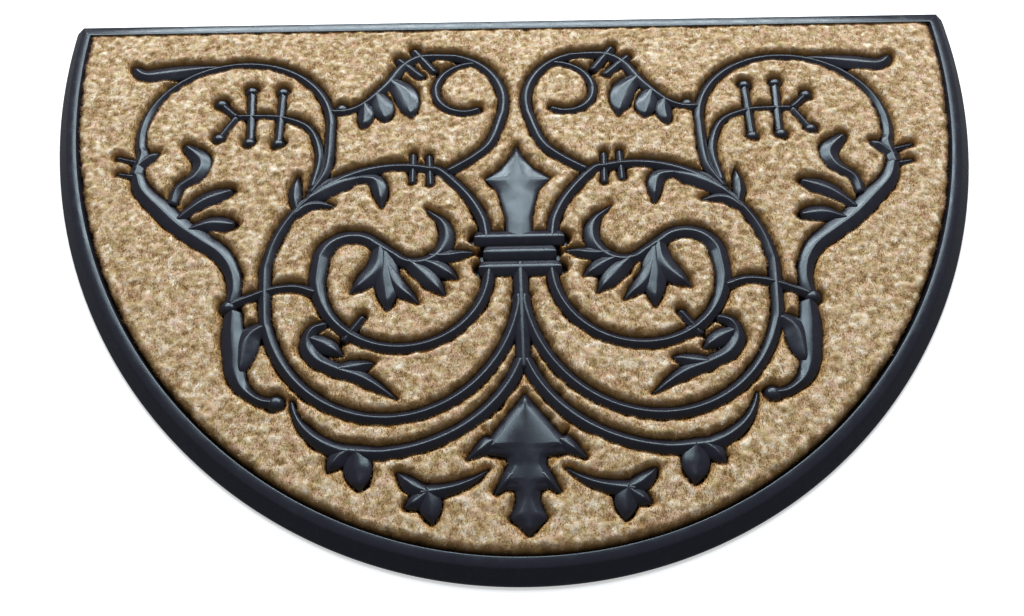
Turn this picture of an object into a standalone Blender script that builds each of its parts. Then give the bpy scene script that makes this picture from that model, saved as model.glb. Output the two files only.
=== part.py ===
"""Half-round coir doormat: a moulded rubber tray with raised scrollwork, filled with coir pile.

Metres, +Z up. The origin is under the middle of the mat, on the floor. +X runs along the
straight back edge and +Y points from the rounded front to that back edge.
"""
import math

import bmesh
import bpy
import numpy as np

MM = 0.001

# Overall form, in millimetres
MAT_LENGTH = 914.0
MAT_DEPTH = 610.0
FRONT_POWER = 2.03
FRONT_SEGMENTS = 60
BACK_Y = MAT_DEPTH / 2

# Rubber tray: a border with an outer bevel, a top that rises a little inward and an inner slope.
# Along the straight back edge the border is narrower and its bevel is steep.
BACKING_THICKNESS = 3.0
EDGE_THICKNESS = 2.5
BORDER_WIDTH = 21.5
BORDER_HEIGHT = 13.0
BORDER_RISE = 0.8
OUTER_BEVEL = 10.0
INNER_SLOPE = 3.0
BACK_WIDTH = 15.5
BACK_BEVEL = 1.0

# Scrollwork: how far its layout is drawn out along Y, heights of a stroke's section, and half
# widths of its kinds
LAYOUT_STRETCH = 1.017
ROOT_Z = 1.5
SHOULDER_Z = 11.0
CREST_Z = 14.5
VINE_HALF_WIDTH = 5.5
TWIG_HALF_WIDTH = 4.0
BAR_HALF_WIDTH = 8.5
POINT_HALF_WIDTH = 0.8
BLUNT_HALF_WIDTH = 4.5
BERRY_RADIUS = 7.0
KNOB_RADIUS = 8.0
LEAF_FORM = (0.55, 0.9, 1.0, 0.75)

# Distances between a stroke's sections
BIG_STEP = 22.0
FINE_STEP = 13.0
LEAF_STEP = 12.0
ARC_DEGREES = 20.0

# Coir
PILE_TOP = 17.0
FIT_GAP = 0.3
SIDE_GAP = 0.5

RUBBER_COLOUR = (0.024, 0.026, 0.033, 1.0)
RUBBER_ROUGHNESS = 0.45
COIR_COLOUR = (0.42, 0.30, 0.19, 1.0)
COIR_ROUGHNESS = 0.95


# Curves in the plane

def arc(centre_x, centre_y, radius_x, radius_y, start, end):
    """Points of an elliptical arc between two angles in degrees."""
    count = max(2, round(abs(end - start) / ARC_DEGREES) + 1)
    angles = np.radians(np.linspace(start, end, count))
    return [(centre_x + radius_x * math.cos(a), centre_y + radius_y * math.sin(a)) for a in angles]


def spiral(centre_x, centre_y, outer, inner, start, end):
    """Points of a spiral that tightens quickly at first and then runs round."""
    count = round(abs(end - start) / ARC_DEGREES) + 1
    points = []
    for share in np.linspace(0.0, 1.0, count):
        radius = inner + (outer - inner) * (1.0 - share) ** 2
        angle = math.radians(start + (end - start) * share)
        points.append((centre_x + radius * math.cos(angle), centre_y + radius * math.sin(angle)))
    return points


def smooth_curve(points, per_span=8):
    """A Catmull-Rom curve through the given points."""
    knots = np.array(points, float)
    knots = np.vstack([2 * knots[0] - knots[1], knots, 2 * knots[-1] - knots[-2]])
    curve = []
    for before, start, end, after in zip(knots, knots[1:], knots[2:], knots[3:]):
        for t in np.arange(per_span) / per_span:
            curve.append(0.5 * (2 * start + (end - before) * t
                                + (2 * before - 5 * start + 4 * end - after) * t ** 2
                                + (3 * start - before - 3 * end + after) * t ** 3))
    curve.append(knots[-2])
    return np.array(curve)


def even_steps(curve, step):
    """The curve read again at even distances close to the step."""
    lengths = np.concatenate([[0.0], np.cumsum(np.hypot(*np.diff(curve, axis=0).T))])
    count = max(2, round(lengths[-1] / step) + 1)
    places = np.linspace(0.0, lengths[-1], count)
    return np.column_stack([np.interp(places, lengths, curve[:, axis]) for axis in (0, 1)])


# Strokes: a centre line and a half width at each of its points

def stroke(points, half_widths, step=FINE_STEP):
    """A stroke through the points, its half widths spread evenly along its length."""
    path = even_steps(smooth_curve(points), step)
    shares = np.linspace(0.0, 1.0, len(path))
    widths = np.interp(shares, np.linspace(0.0, 1.0, len(half_widths)), half_widths)
    return path, widths


def leaf(base, middle, tip, half_width):
    """A pointed leaf, widest a little before its middle."""
    half_widths = [half_width * share for share in LEAF_FORM] + [POINT_HALF_WIDTH]
    return stroke([base, middle, tip], half_widths, LEAF_STEP)


def bar(start, end, half_width):
    """A straight crossing bar."""
    return np.array([start, end], float), np.array([half_width, half_width])


def berry(centre_x, centre_y, radius):
    """A round berry, as an octagon."""
    near, far = radius * math.sin(math.pi / 8), radius * math.cos(math.pi / 8)
    path = np.array([(centre_x + offset, centre_y) for offset in (-far, -near, near, far)])
    return path, np.array([near, far, far, near])


def upright(rows):
    """A motif on the centre line, from rows of height in the plane and half width."""
    path = np.array([(0.0, y) for y, half_width in rows], float)
    return path, np.array([half_width for y, half_width in rows], float)


# Motifs of the left half, in millimetres from the middle of the mat

def outer_scroll():
    arch = arc(-270, 150, 91, 89, 200, 0) + [(-179, 100), (-192, 68)]
    spur = [(-290, 237), (-316, 234), (-345, 230), (-370, 227), (-384, 237)]
    return [
        stroke([(-358, 94)] + arch, [7, 5, 5, 5, 5, 5, 5, 5], BIG_STEP),
        stroke(spur, [2, 7, 10, 9.5, BLUNT_HALF_WIDTH], LEAF_STEP),
    ]


def berry_sprig():
    stem = [(-191, 76), (-187, 115), (-199, 150), (-225, 165), (-252, 168), (-272, 168)]
    twigs = [((-272, 168), (-288, 184)), ((-272, 168), (-285, 141)), ((-261, 201), (-255, 136)),
             ((-230, 199), (-228, 133))]
    berries = [(-289, 185), (-286, 140), (-261, 202), (-256, 134), (-230, 200), (-228, 132)]
    return [
        stroke(stem, [TWIG_HALF_WIDTH, TWIG_HALF_WIDTH]),
        *[bar(start, end, TWIG_HALF_WIDTH) for start, end in twigs],
        *[berry(x, y, BERRY_RADIUS) for x, y in berries],
    ]


def side_stem():
    stem = [(-357, 98), (-348, 77), (-328, 55), (-307, 34), (-285, 17), (-266, 2), (-254, -16),
            (-249, -36), (-250, -54)]
    horn = [(-318, 58), (-315, 78), (-301, 93), (-298, 112), (-316, 131)]
    return [
        stroke(stem, [6, 9, 10, 10, 9, 7, 6]),
        stroke(horn, [5, 6, 8, 9, BLUNT_HALF_WIDTH], LEAF_STEP),
        stroke([(-311, 40), (-290, 62), (-264, 74)], [5, 6, 9, 9.5, BLUNT_HALF_WIDTH], LEAF_STEP),
        stroke([(-300, 28), (-280, 36), (-257, 34)], [5, 6, 9, 9, BLUNT_HALF_WIDTH], LEAF_STEP),
        leaf((-360, 100), (-353, 112), (-340, 123), 8),
        bar((-379, 117), (-358, 111), 3),
        bar((-375, 97), (-354, 93), 3),
        berry(-252, -55, KNOB_RADIUS),
    ]


def link():
    return [stroke([(-256, -56), (-238, -47), (-216, -38), (-196, -36), (-178, -42)], [5, 5])]


def side_crescent():
    crescent = [(-247, -58), (-245, -80), (-241, -102), (-238, -119), (-230, -135), (-216, -146),
                (-203, -149)]
    return [
        stroke(crescent, [7, 9, 10, 9, 7, 5, 5]),
        leaf((-219, -75), (-231, -88), (-234, -124), 11),
        berry(-202, -149, KNOB_RADIUS),
    ]


def big_loop():
    top = arc(-110, -22, 114, 122, 70, 180)
    bottom = arc(-112, -34, 111, 131, 195, 350)
    path = [(-29, 12), (-33, 36), (-47, 64)] + top + bottom + [(-3, -46)]
    widths = [5.5] * 5 + [6.5, 7] + [5.5] * 15
    return [
        stroke(path, widths, BIG_STEP),
        leaf((-203, 50), (-206, 70), (-205, 90), 6),
        leaf((-208, 40), (-192, 55), (-168, 54), 7),
        leaf((-194, 62), (-170, 79), (-140, 88), 11),
        leaf((-152, 87), (-131, 82), (-125, 51), 8),
        bar((-98, 116), (-98, 79), 3.5),
        bar((-83, 114), (-81, 76), 3.5),
    ]


def inner_scroll():
    around = arc(-103, -22, 75, 77, -5, -175)
    curl = arc(-149, -10, 28, 28, 170, 45)
    hook = arc(-92, 17, 27, 29, 225, 405)
    path = [(-27, -14)] + around + curl + hook + [(-85, 49)]
    widths = [5, 5.5, 5.5, 5.5, 5.5, 5.5, 6, 7.5, 8, 7, 6, 7, 7, POINT_HALF_WIDTH]
    return [
        stroke(path, widths, FINE_STEP + 2),
        leaf((-124, 8), (-126, -18), (-148, -43), 11),
        leaf((-120, 2), (-117, -28), (-115, -62), 11),
        leaf((-118, -10), (-109, -34), (-89, -54), 8),
        leaf((-100, -8), (-85, -24), (-66, -47), 9),
        leaf((-88, -9), (-74, -16), (-55, -30), 8),
        leaf((-82, -4), (-65, -5), (-41, -1), 7),
        bar((-135, -67), (-151, -92), 4),
    ]


def curled_leaf():
    blade = [(-166, -74), (-178, -80), (-181, -95), (-172, -109), (-154, -119), (-132, -128),
             (-104, -147)]
    return [
        stroke(blade, [4, 6, 7, 7, 7, 5, POINT_HALF_WIDTH]),
        leaf((-180, -88), (-167, -94), (-151, -105), 8),
        leaf((-156, -119), (-140, -117), (-124, -113), 8),
    ]


def upper_scroll():
    stem = [(-181, 172), (-164, 173), (-147, 183), (-128, 206), (-112, 233), (-93, 246)]
    crook = arc(-72, 182, 61, 65, 80, -15) + [(-24, 130), (-40, 111), (-66, 92)]
    return [
        stroke(stem + crook, [5, 5, 6, 6, 6] + [5.5] * 8, BIG_STEP - 3),
        stroke(spiral(-48, 192, 46, 23, 72, 305), [4, 4.5, 4.5, 5, 5], FINE_STEP - 2),
        berry(-170, 176, BERRY_RADIUS),
        leaf((-148, 184), (-146, 167), (-148, 148), 8),
        leaf((-137, 196), (-130, 178), (-126, 157), 11),
        leaf((-124, 214), (-108, 195), (-101, 161), 12),
        bar((-118, 244), (-91, 216), 5),
        bar((-102, 257), (-79, 223), 5),
    ]


def lower_arc():
    right = arc(-122, -76, 126, 119, -17, -88)
    left = arc(-127, -137, 63, 58, -105, -170)
    return [
        stroke(right + left + [(-189, -150)], [6, 6, 6, 6, 6, 7, 5, POINT_HALF_WIDTH], BIG_STEP - 4),
        leaf((-137, -191), (-147, -198), (-155, -209), 8),
        leaf((-134, -191), (-132, -206), (-129, -226), 11),
    ]


def free_trefoil():
    return [
        leaf((-73, -230), (-88, -224), (-101, -212), 7),
        stroke([(-84, -230), (-60, -226), (-44, -220), (-30, -211)], [8, 6, 4, POINT_HALF_WIDTH]),
        leaf((-78, -224), (-75, -238), (-73, -254), 9),
        leaf((-76, -228), (-84, -235), (-94, -241), 7),
    ]


def tree_wings():
    return [
        stroke([(-26, -186), (-36, -194), (-47, -202)], [9, 6, POINT_HALF_WIDTH], LEAF_STEP),
        stroke([(-10, -214), (-17, -222), (-25, -231)], [8, 5, POINT_HALF_WIDTH], LEAF_STEP),
    ]


# Motifs on the centre line

def centre_spear():
    rows = [(123, POINT_HALF_WIDTH), (106, 9), (95, 17), (84, 31), (76, 24), (66, 18), (52, 15),
            (36, 12), (13, 12)]
    return [upright(rows)]


def collar():
    half_lengths = {14: 41, -2.5: 33, -19: 37}
    return [bar((-half, y), (half, y), BAR_HALF_WIDTH) for y, half in half_lengths.items()]


def centre_strand():
    return [upright([(-12, 6.5), (-60, 6.5), (-90, 6), (-122, 6)])]


def centre_tree():
    rows = [(-145, POINT_HALF_WIDTH), (-160, 12), (-175, 23), (-190, 34), (-197, 38), (-200, 16),
            (-207, 15), (-215, 19), (-226, 22), (-229, 10), (-236, 9), (-243, 11), (-251, 14.5),
            (-265, POINT_HALF_WIDTH)]
    return [upright(rows)]


SIDE_MOTIFS = (outer_scroll, berry_sprig, side_stem, link, side_crescent, big_loop, inner_scroll,
               curled_leaf, upper_scroll, lower_arc, free_trefoil, tree_wings)
CENTRE_MOTIFS = (centre_spear, collar, centre_strand, centre_tree)


def all_strokes():
    """Every stroke of the scrollwork, the side motifs on both sides."""
    strokes = []
    for motif in SIDE_MOTIFS:
        for path, widths in motif():
            strokes.append((path * (1.0, LAYOUT_STRETCH), widths))
            strokes.append((path[::-1] * (-1.0, LAYOUT_STRETCH), widths[::-1]))
    for motif in CENTRE_MOTIFS:
        strokes.extend((path * (1.0, LAYOUT_STRETCH), widths) for path, widths in motif())
    return strokes


# The mat's outline

def front_point(angle, inset):
    """A point of the rounded front, moved in by the inset along the outline's normal."""
    half, power = MAT_LENGTH / 2, FRONT_POWER
    cosine, sine = math.cos(angle), math.sin(angle)
    x_share = math.copysign(abs(cosine) ** (2 / power), cosine)
    y_share = -abs(sine) ** (2 / power)
    slope_x = math.copysign(abs(x_share) ** (power - 1) / half, x_share)
    slope_y = -abs(y_share) ** (power - 1) / MAT_DEPTH
    slope = math.hypot(slope_x, slope_y)
    return (half * x_share - inset * slope_x / slope,
            BACK_Y + MAT_DEPTH * y_share - inset * slope_y / slope)


def back_inset(inset):
    """How far the back edge moves in where the front moves in by the inset."""
    front = (0.0, OUTER_BEVEL, BORDER_WIDTH - INNER_SLOPE, BORDER_WIDTH)
    back = (0.0, BACK_BEVEL, BACK_WIDTH - INNER_SLOPE, BACK_WIDTH)
    return np.interp(inset, front, back) + max(0.0, inset - BORDER_WIDTH)


def corner_angle(inset):
    """The angle at which the inset front meets the inset back edge."""
    edge_y = BACK_Y - back_inset(inset)
    low, high = 0.0, math.pi / 4
    for _ in range(40):
        middle = (low + high) / 2
        if front_point(middle, inset)[1] > edge_y:
            low = middle
        else:
            high = middle
    return high


def outline(inset):
    """The mat's outline moved in by the inset, anticlockwise from the left back corner."""
    start = corner_angle(inset)
    angles = np.linspace(math.pi - start, start, FRONT_SEGMENTS + 1)
    return [front_point(angle, inset) for angle in angles]


# Meshes

def loft(name, rings, collection, material):
    """A closed body through rings of points that have the same count, capped at both ends."""
    mesh = bpy.data.meshes.new(name)
    form = bmesh.new()
    rows = [[form.verts.new([value * MM for value in point]) for point in ring] for ring in rings]
    for lower, upper in zip(rows, rows[1:]):
        for here, there in zip(range(len(lower)), [*range(1, len(lower)), 0]):
            form.faces.new((lower[here], lower[there], upper[there], upper[here]))
    form.faces.new(rows[0][::-1])
    form.faces.new(rows[-1])
    bmesh.ops.recalc_face_normals(form, faces=form.faces)
    form.to_mesh(mesh)
    form.free()
    mesh.materials.append(material)
    piece = bpy.data.objects.new(name, mesh)
    collection.objects.link(piece)
    return piece


def stroke_rings(path, widths, section):
    """The section at each point of the path; section(width) gives offsets across and heights."""
    along = np.gradient(path, axis=0)
    along /= np.hypot(along[:, 0], along[:, 1])[:, None]
    across = np.column_stack([-along[:, 1], along[:, 0]])
    return [[(*(point + side * offset), height) for offset, height in section(width)]
            for point, side, width in zip(path, across, widths)]


def ridge_section(width):
    """Upright sides, two slopes and a crest, which is lower where the stroke narrows."""
    crest = SHOULDER_Z + (CREST_Z - SHOULDER_Z) * min(1.0, width / VINE_HALF_WIDTH)
    return [(-width, ROOT_Z), (width, ROOT_Z), (width, SHOULDER_Z), (0.0, crest),
            (-width, SHOULDER_Z)]


def clearance_section(width):
    """A box round the stroke, taller than the pile."""
    reach = width + SIDE_GAP
    top = PILE_TOP + BACKING_THICKNESS
    return [(-reach, ROOT_Z), (reach, ROOT_Z), (reach, top), (-reach, top)]


def lengthened(path, extra):
    """The path with both of its ends moved outward."""
    longer = path.copy()
    for end, inner in ((0, 1), (-1, -2)):
        direction = path[end] - path[inner]
        longer[end] += extra * direction / np.hypot(*direction)
    return longer


def new_collection(name):
    collection = bpy.data.collections.new(name)
    bpy.context.scene.collection.children.link(collection)
    return collection


def new_material(name, colour, roughness):
    material = bpy.data.materials.new(name)
    material.use_nodes = True
    shader = material.node_tree.nodes["Principled BSDF"]
    shader.inputs["Base Color"].default_value = colour
    shader.inputs["Roughness"].default_value = roughness
    shader.inputs["Metallic"].default_value = 0.0
    return material


def guide_pieces(name, section, extra, material):
    """One hidden body for each stroke, in a collection of its own."""
    collection = new_collection(name)
    for number, (path, widths) in enumerate(all_strokes()):
        rings = stroke_rings(lengthened(path, extra), widths, section)
        piece = loft(f"{name}_{number:03d}", rings, collection, material)
        piece.hide_render = True
        piece.display_type = "WIRE"
    return collection


def combine(piece, operation, collection):
    """Join a collection's bodies to a piece, or cut them from it."""
    modifier = piece.modifiers.new(operation.title(), "BOOLEAN")
    modifier.operation = operation
    modifier.operand_type = "COLLECTION"
    modifier.collection = collection
    modifier.solver = "EXACT"


def rubber_moulding(collection, material):
    """Backing, border and scrollwork in one moulding."""
    rings = [
        [(x, y, 0.0) for x, y in outline(0.0)],
        [(x, y, EDGE_THICKNESS) for x, y in outline(0.0)],
        [(x, y, BORDER_HEIGHT - BORDER_RISE) for x, y in outline(OUTER_BEVEL)],
        [(x, y, BORDER_HEIGHT) for x, y in outline(BORDER_WIDTH - INNER_SLOPE)],
        [(x, y, BACKING_THICKNESS) for x, y in outline(BORDER_WIDTH)],
    ]
    tray = loft("rubber_moulding", rings, collection, material)
    combine(tray, "UNION", guide_pieces("relief", ridge_section, 0.0, material))
    return tray


def loose_parts(mesh):
    """The mesh's separate bodies as lists of face indices, the largest body first."""
    form = bmesh.new()
    form.from_mesh(mesh)
    form.faces.ensure_lookup_table()
    waiting = set(range(len(form.faces)))
    bodies = []
    while waiting:
        reached = [waiting.pop()]
        for index in reached:
            for edge in form.faces[index].edges:
                for face in edge.link_faces:
                    if face.index in waiting:
                        waiting.remove(face.index)
                        reached.append(face.index)
        bodies.append(reached)
    areas = [sum(form.faces[index].calc_area() for index in body) for body in bodies]
    form.free()
    return [body for _, body in sorted(zip(areas, bodies), key=lambda pair: -pair[0])]


def body_mesh(mesh, name, body):
    """A mesh that keeps only one body's faces."""
    kept = set(body)
    form = bmesh.new()
    form.from_mesh(mesh)
    dropped = [face for face in form.faces if face.index not in kept]
    bmesh.ops.delete(form, geom=dropped, context="FACES")
    result = bpy.data.meshes.new(name)
    form.to_mesh(result)
    form.free()
    return result


def coir_pieces(collection, material):
    """The pile between the scrollwork: one large field and the inlays that closed loops part."""
    edge = outline(BORDER_WIDTH + SIDE_GAP)
    rings = [[(x, y, z) for x, y in edge] for z in (BACKING_THICKNESS + FIT_GAP, PILE_TOP)]
    slab = loft("coir_slab", rings, collection, material)
    combine(slab, "DIFFERENCE", guide_pieces("clearance", clearance_section, SIDE_GAP, material))
    bpy.context.view_layer.update()
    cut = bpy.data.meshes.new_from_object(slab.evaluated_get(bpy.context.evaluated_depsgraph_get()))
    bpy.data.objects.remove(slab)
    for number, body in enumerate(loose_parts(cut)):
        name = "coir_field" if number == 0 else f"coir_inlay_{number:02d}"
        mesh = body_mesh(cut, name, body)
        mesh.materials.clear()
        mesh.materials.append(material)
        collection.objects.link(bpy.data.objects.new(name, mesh))
    bpy.data.meshes.remove(cut)


def main():
    for thing in list(bpy.data.objects):
        bpy.data.objects.remove(thing)
    mat = new_collection("coir_doormat")
    rubber = new_material("moulded rubber", RUBBER_COLOUR, RUBBER_ROUGHNESS)
    coir = new_material("coir pile", COIR_COLOUR, COIR_ROUGHNESS)
    rubber_moulding(mat, rubber)
    coir_pieces(mat, coir)


main()
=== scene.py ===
"""Dresses the packed frame of a half-round coir doormat.

The frame gives the mat's size and its nodes. Over it come the moulded rubber tray, the raised
scrollwork, the coir pile between the strokes and the fibres that stand on it, then a pale floor,
soft studio light and the camera. Curves are worked out in millimetres in the mat's plane, and
become metres where a mesh is made.
"""
import math
from collections import namedtuple

import bpy
import numpy as np
from bpy.props import FloatProperty, FloatVectorProperty, IntProperty, PointerProperty
from bpy.types import Operator, Panel, PropertyGroup
from mathutils import Matrix, Vector


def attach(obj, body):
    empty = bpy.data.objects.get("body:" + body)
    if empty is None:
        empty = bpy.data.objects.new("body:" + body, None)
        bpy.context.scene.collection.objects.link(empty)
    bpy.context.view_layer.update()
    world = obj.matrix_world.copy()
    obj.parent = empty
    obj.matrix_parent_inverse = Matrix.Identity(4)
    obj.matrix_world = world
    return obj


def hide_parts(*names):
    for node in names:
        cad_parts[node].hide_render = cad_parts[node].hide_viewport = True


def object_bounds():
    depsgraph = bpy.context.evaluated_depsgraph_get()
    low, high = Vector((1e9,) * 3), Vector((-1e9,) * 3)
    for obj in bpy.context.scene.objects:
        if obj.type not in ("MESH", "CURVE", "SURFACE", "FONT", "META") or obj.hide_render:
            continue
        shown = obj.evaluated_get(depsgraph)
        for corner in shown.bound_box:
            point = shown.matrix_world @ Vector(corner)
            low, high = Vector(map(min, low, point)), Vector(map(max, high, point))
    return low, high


bl_info = {
    "name": "Coir Doormat",
    "version": (1, 0, 0),
    "blender": (4, 5, 0),
    "location": "View3D > Sidebar > Doormat",
    "description": "Dresses a half-round coir doormat with scrollwork in moulded rubber",
    "category": "Object",
}

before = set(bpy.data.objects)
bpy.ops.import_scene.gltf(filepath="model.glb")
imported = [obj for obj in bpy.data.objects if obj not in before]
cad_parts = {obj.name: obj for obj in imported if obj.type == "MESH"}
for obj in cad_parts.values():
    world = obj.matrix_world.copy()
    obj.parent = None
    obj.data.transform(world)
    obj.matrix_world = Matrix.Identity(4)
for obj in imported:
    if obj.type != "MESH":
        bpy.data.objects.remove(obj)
CAD_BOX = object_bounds()

MM = 0.001
BODY = "root"
RUBBER_NODE = "rubber_moulding"
MAT_LENGTH = (CAD_BOX[1].x - CAD_BOX[0].x) / MM
MAT_DEPTH = (CAD_BOX[1].y - CAD_BOX[0].y) / MM
BACK_Y = CAD_BOX[1].y / MM
TRAY_NAME = "tray"
CENTRE_KINDS = ("spear", "tree")

Stroke = namedtuple("Stroke", "path widths kind")


# What a user can change

def length_property(name, description, millimetres):
    """A length that is shown in the scene's unit and kept in metres."""
    return FloatProperty(name=name, description=description, default=millimetres * MM,
                         unit="LENGTH", precision=4)


def colour_property(name, description, colour):
    return FloatVectorProperty(name=name, description=description, default=colour, size=3,
                               subtype="COLOR", min=0.0, max=1.0)


def share_property(name, description, default):
    return FloatProperty(name=name, description=description, default=default, min=0.0, max=1.0,
                         subtype="FACTOR")


def angle_property(name, description, degrees):
    return FloatProperty(name=name, description=description, default=math.radians(degrees),
                         subtype="ANGLE")


def power_property(name, description, watts):
    return FloatProperty(name=name, description=description, default=watts, unit="POWER")


class TraySizes(PropertyGroup):
    """Sizes of the rubber tray."""
    front_power: FloatProperty(name="Front power", default=2.03, min=1.5, max=4.0,
                               description="Power of the superellipse that rounds the front")
    backing: length_property("Backing", "Thickness of the sheet under the pile", 3.0)
    edge: length_property("Edge", "Upright height of the outer edge", 2.5)
    border_width: length_property("Border width", "Width of the border in plan", 21.5)
    border_height: length_property("Border height", "Height of the border's top", 13.0)
    border_rise: length_property("Border rise", "How much the top rises inward", 0.8)
    outer_bevel: length_property("Outer bevel", "Width of the bevel outside the top", 10.0)
    inner_slope: length_property("Inner slope", "Width of the slope inside the top", 3.0)
    back_width: length_property("Back width", "Width of the border along the back", 15.5)
    back_bevel: length_property("Back bevel", "Width of the steep bevel along the back", 1.0)


class ScrollSizes(PropertyGroup):
    """Sizes of the raised scrollwork."""
    stretch: FloatProperty(name="Stretch", description="How far the layout is drawn out along Y",
                           default=1.017, min=0.9, max=1.1, precision=3)
    root: length_property("Root", "Height at which strokes start, inside the backing", 1.5)
    shoulder: length_property("Shoulder", "Height of a stroke's upright sides", 11.0)
    crest: length_property("Crest", "Height of a full stroke's crest", 14.5)
    vine: length_property("Vine half width", "Half width at which the crest is full", 5.5)
    crest_share: share_property("Crest share", "Least flat share of a stroke's width", 0.11)
    leaf_slope: length_property("Leaf slope", "Width of the slopes on vines and leaves", 9.0)
    spear_slope: length_property("Spear slope", "Width of the slopes on the spear", 14.0)
    tree_slope: length_property("Tree slope", "Width of the slopes on tree and bars", 7.0)


class PileSizes(PropertyGroup):
    """Sizes of the coir pile and its fibres."""
    top: length_property("Top", "Height of the pile's surface", 16.3)
    foot: length_property("Foot", "Height at which the pile meets the rubber", 4.0)
    shoulder: length_property("Shoulder", "Radius of the pile's rounded edges", 7.0)
    grid: length_property("Grid", "Distance between the surface's points", 1.5)
    lump_size: length_property("Lump size", "Distance between lumps", 8.0)
    lump_height: length_property("Lump height", "Usual height of a lump", 0.4)
    fibre_length: length_property("Fibre length", "Usual length of a fibre that stands out", 2.6)
    fibre_width: length_property("Fibre width", "Width of a fibre at its foot", 0.7)
    fibre_count: IntProperty(name="Fibres", description="Fibres on the whole mat",
                             default=360000, min=0, max=600000)


class Finishes(PropertyGroup):
    """Colours and gloss."""
    rubber: colour_property("Rubber", "Moulded rubber", (0.017, 0.016, 0.024))
    rubber_dust: colour_property("Rubber dust", "Dust on the rubber", (0.027, 0.028, 0.036))
    rubber_sheen: colour_property("Rubber sheen", "Tint of its highlights", (0.74, 0.93, 1.0))
    rubber_gloss: share_property("Rubber roughness", "Usual roughness of the rubber", 0.22)
    # Painted shade: dark colour laid low in the pile, by the rubber.
    coir_painted_deep_shade: colour_property("Coir deep", "Deep in the pile", (0.07, 0.03, 0.01))
    # Painted shade: brown colour laid on the pile's shoulders.
    coir_painted_shoulder_shade: colour_property("Coir halo", "On the pile's shoulders", (0.45, 0.26, 0.09))
    coir_brown: colour_property("Coir brown", "Dark fibres", (0.30, 0.18, 0.07))
    coir_tan: colour_property("Coir tan", "Usual fibres", (0.53, 0.38, 0.215))
    coir_cream: colour_property("Coir cream", "Light fibres", (0.78, 0.69, 0.56))
    coir_pink: colour_property("Coir pink", "Reddish patches", (0.64, 0.41, 0.30))
    coir_olive: colour_property("Coir olive", "Greenish patches", (0.47, 0.40, 0.18))
    floor: colour_property("Floor", "Pale floor", (0.9, 0.9, 0.9))
    floor_glow: share_property("Floor glow", "Light that the floor adds to look white", 0.45)


class StageSizes(PropertyGroup):
    """Camera and lights."""
    lens: FloatProperty(name="Lens", description="Focal length on a 36 mm sensor",
                        default=37.97, unit="CAMERA")
    elevation: angle_property("Elevation", "Camera above the floor", 55.3)
    azimuth: angle_property("Azimuth", "Camera to the side of the front", -1.23)
    roll: angle_property("Roll", "Camera about its own axis", -0.11)
    distance: length_property("Distance", "Camera from the point it looks at", 940.0)
    target_x: length_property("Target X", "Where the camera looks, along the mat", -8.2)
    target_y: length_property("Target Y", "Where the camera looks, across the mat", -54.0)
    key_power: power_property("Key power", "Wide softbox behind the mat", 66.0)
    key_elevation: angle_property("Key elevation", "Softbox above the floor", 48.0)
    strip_power: power_property("Strip power", "Narrow light lower behind", 58.0)
    strip_elevation: angle_property("Strip elevation", "Strip above the floor", 29.5)
    light_distance: length_property("Light distance", "Lights from the mat", 2400.0)
    sky: FloatProperty(name="Sky", description="Strength of the even light all round",
                       default=0.21, min=0.0)


# Curves in the plane

ARC_DEGREES = 6.0
SECTION_STEP = 2.0
TIP_HALF_WIDTH = 0.6
END_SHARE = 0.6
END_POINTS = 6
LEAF_FORM = (0.55, 0.9, 1.0, 0.75)
POINT_HALF_WIDTH = 0.8
BLUNT_HALF_WIDTH = 4.5
TWIG_HALF_WIDTH = 4.0
BAR_HALF_WIDTH = 8.5
BERRY_RADIUS = 7.0
KNOB_RADIUS = 8.0


def arc(centre_x, centre_y, radius_x, radius_y, start, end):
    """Points of an elliptical arc between two angles in degrees."""
    angles = np.radians(np.linspace(start, end, round(abs(end - start) / ARC_DEGREES) + 1))
    return [*zip(centre_x + radius_x * np.cos(angles), centre_y + radius_y * np.sin(angles))]


def spiral(centre_x, centre_y, outer, inner, start, end):
    """Points of a spiral whose radius falls with the square of the share still to run."""
    share = np.linspace(0.0, 1.0, round(abs(end - start) / ARC_DEGREES) + 1)
    radius = inner + (outer - inner) * (1.0 - share) ** 2
    angle = np.radians(start + (end - start) * share)
    return [*zip(centre_x + radius * np.cos(angle), centre_y + radius * np.sin(angle))]


def smooth_curve(points, per_span=8):
    """A Catmull-Rom curve: in each span, half the sum of powers of t weighted by four knots."""
    knots = np.array(points, float)
    knots = np.vstack([2 * knots[0] - knots[1], knots, 2 * knots[-1] - knots[-2]])
    before, start, end, after = (knots[shift:len(knots) - 3 + shift, None] for shift in range(4))
    t = (np.arange(per_span) / per_span)[None, :, None]
    curve = 0.5 * (2 * start + (end - before) * t
                   + (2 * before - 5 * start + 4 * end - after) * t ** 2
                   + (3 * start - before - 3 * end + after) * t ** 3)
    return np.vstack([curve.reshape(-1, knots.shape[1]), knots[-2]])


def run_lengths(path):
    """Distance along the path at each of its points."""
    return np.concatenate([[0.0], np.cumsum(np.hypot(*np.diff(path, axis=0).T))])


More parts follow.
